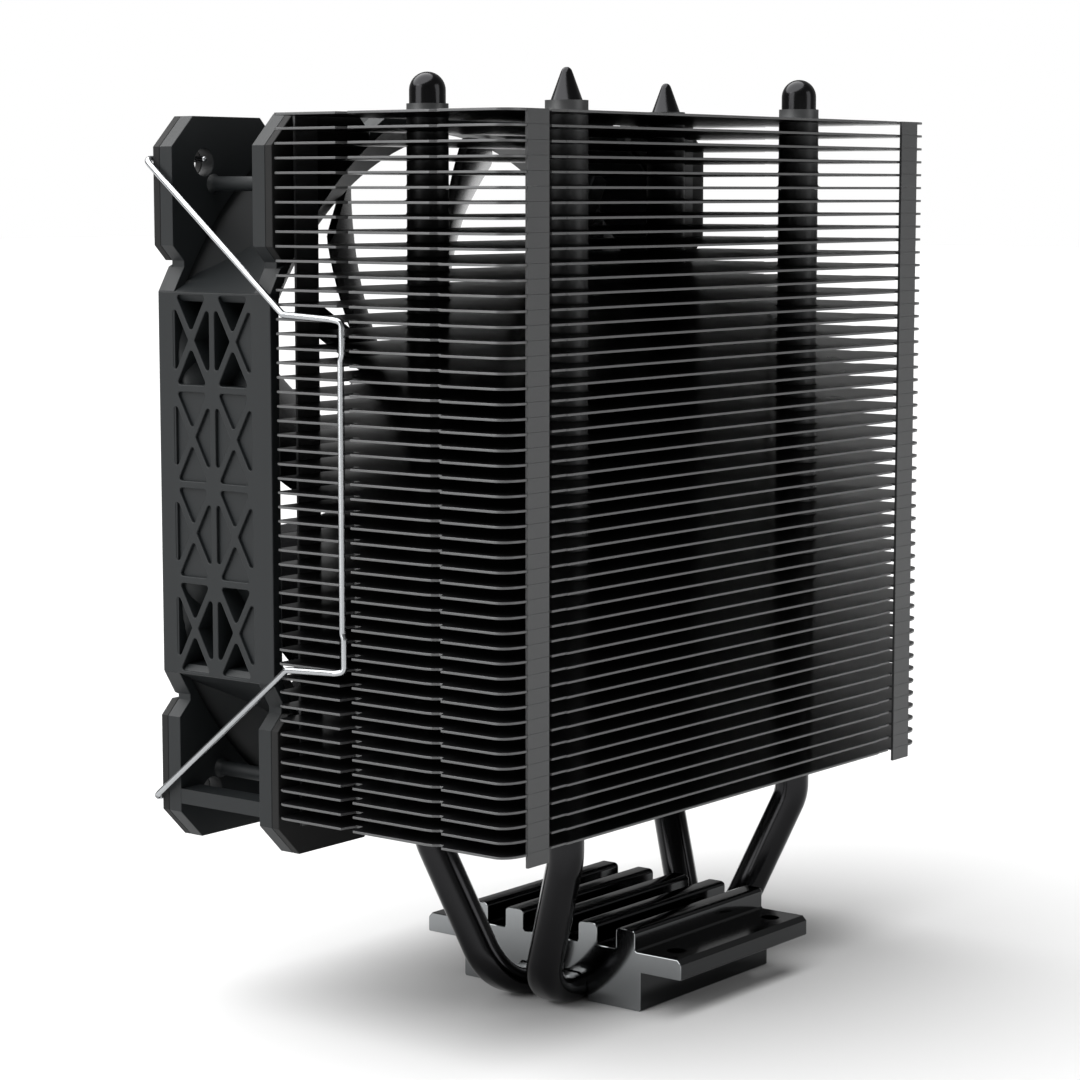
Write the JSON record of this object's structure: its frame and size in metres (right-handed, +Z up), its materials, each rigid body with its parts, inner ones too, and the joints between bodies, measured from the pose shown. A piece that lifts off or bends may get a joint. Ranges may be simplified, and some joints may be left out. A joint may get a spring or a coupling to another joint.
{
  "type": "cpu tower cooler",
  "caption": "Tower cooler for a processor: a finned stack on bent heat pipes over a flat base, with a square fan held on its front by wire clips.",
  "frame": {"origin": "centre of the base's contact face", "axes": "+Z up along the heat pipes, +Y the way the air flows, from the fan to the open rear of the fins, +X to the left when seen from behind the fins"},
  "size_m": [0.1232, 0.0787, 0.1543],
  "materials": {
    "base": "dark satin, polished at the cut ends",
    "heat_pipe": "glossy black nickel plating",
    "fins": "satin black coating",
    "fan_frame": "fine matte",
    "impeller": "satin",
    "pads": "matte",
    "wire_clip": "bright polished spring steel",
    "motor_steel": "plain",
    "magnet": "matte bonded ferrite",
    "bearing": "sintered bronze",
    "coil": "enamelled copper wire",
    "insulator": "matte",
    "circuit_board": "satin solder mask",
    "label": "satin, blank"
  },
  "bodies": {
    "cooler": {"base_block": "base", "heat_pipe_front": "heat_pipe", "heat_pipe_rear": "heat_pipe", "fin_bank_01": "fins", "fin_bank_02": "fins", "fin_bank_03": "fins", "fin_bank_04": "fins", "fin_bank_05": "fins", "fin_bank_06": "fins", "fin_bank_07": "fins", "fin_bank_08": "fins", "fin_bank_09": "fins", "fin_bank_10": "fins", "fan_frame": "fan_frame", "front_pad_upper_left": "pads", "front_pad_upper_right": "pads", "front_pad_lower_left": "pads", "front_pad_lower_right": "pads", "rear_pad_upper_left": "pads", "rear_pad_upper_right": "pads", "rear_pad_lower_left": "pads", "rear_pad_lower_right": "pads", "bearing_sleeve": "bearing", "thrust_washer": "insulator", "stator_core": "motor_steel", "stator_coil_1": "coil", "stator_coil_2": "coil", "stator_coil_3": "coil", "stator_coil_4": "coil", "stator_insulator_front": "insulator", "stator_insulator_rear": "insulator", "circuit_board": "circuit_board", "hub_label": "label"},
    "rotor": {"impeller": "impeller", "rotor_yoke": "motor_steel", "ring_magnet": "magnet", "rotor_shaft": "motor_steel", "shaft_retaining_ring": "motor_steel"},
    "clip_left": {"wire_clip_left": "wire_clip"},
    "clip_right": {"wire_clip_right": "wire_clip"}
  },
  "joints": [
    {"name": "impeller_spin", "type": "hinge", "parent": "cooler", "child": "rotor", "pos_m": [0, -0.0373, 0.0872], "axis": [0, 1, 0], "continuous": true},
    {"name": "clip_left_swing", "type": "hinge", "parent": "cooler", "child": "clip_left", "pos_m": [0.0525, -0.05133, 0.0872], "axis": [0, 0, -1], "range_deg": [0, 18]},
    {"name": "clip_right_swing", "type": "hinge", "parent": "cooler", "child": "clip_right", "pos_m": [-0.0525, -0.05133, 0.0872], "axis": [0, 0, 1], "range_deg": [0, 18]}
  ]
}
